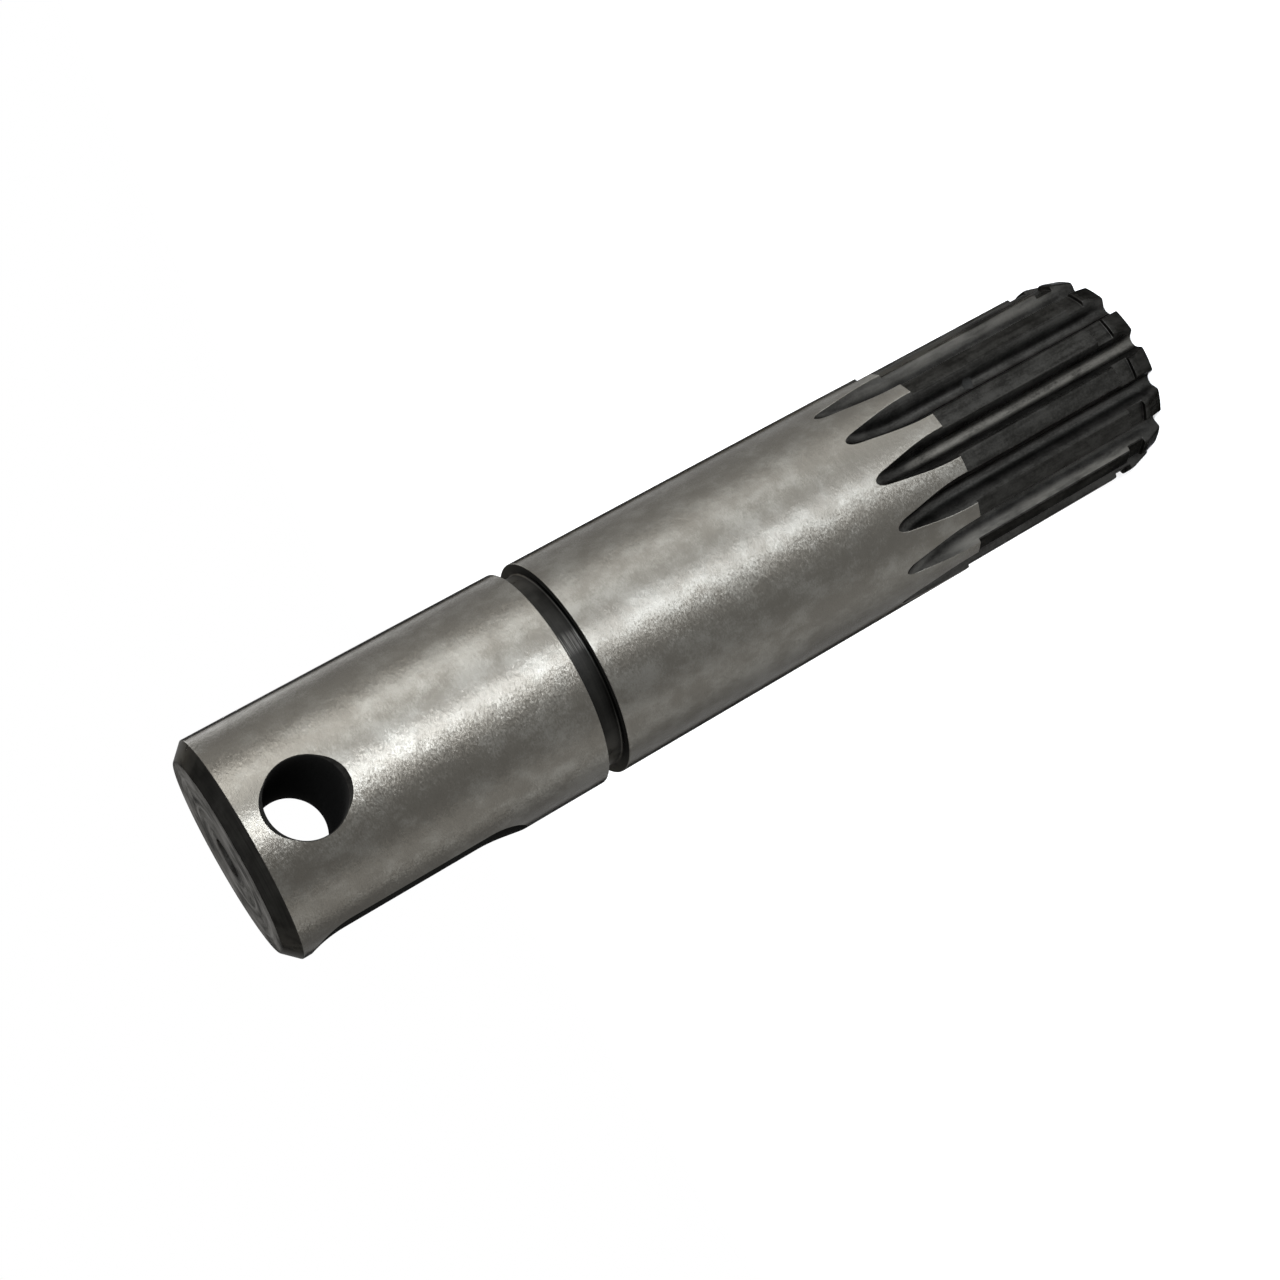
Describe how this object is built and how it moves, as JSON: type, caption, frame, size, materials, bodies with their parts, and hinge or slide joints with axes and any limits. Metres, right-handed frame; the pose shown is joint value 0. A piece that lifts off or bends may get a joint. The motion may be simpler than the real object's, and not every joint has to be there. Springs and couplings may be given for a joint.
{
  "type": "splined shaft",
  "caption": "Round ground steel shaft with splines on one end, a retaining ring groove round its middle, and a cross hole and a round-ended keyway at the other end.",
  "frame": {"origin": "centre of the flat end face at the splined end, the face the shaft stands on", "axes": "+Z along the shaft from the splined end to the keyed end, the keyway faces -X and the cross hole runs along Y"},
  "size_m": [0.04, 0.04, 0.1826],
  "materials": {
    "ground_steel": "ground"
  },
  "bodies": {
    "root": {"splined_shaft": "ground_steel"}
  },
  "joints": []
}
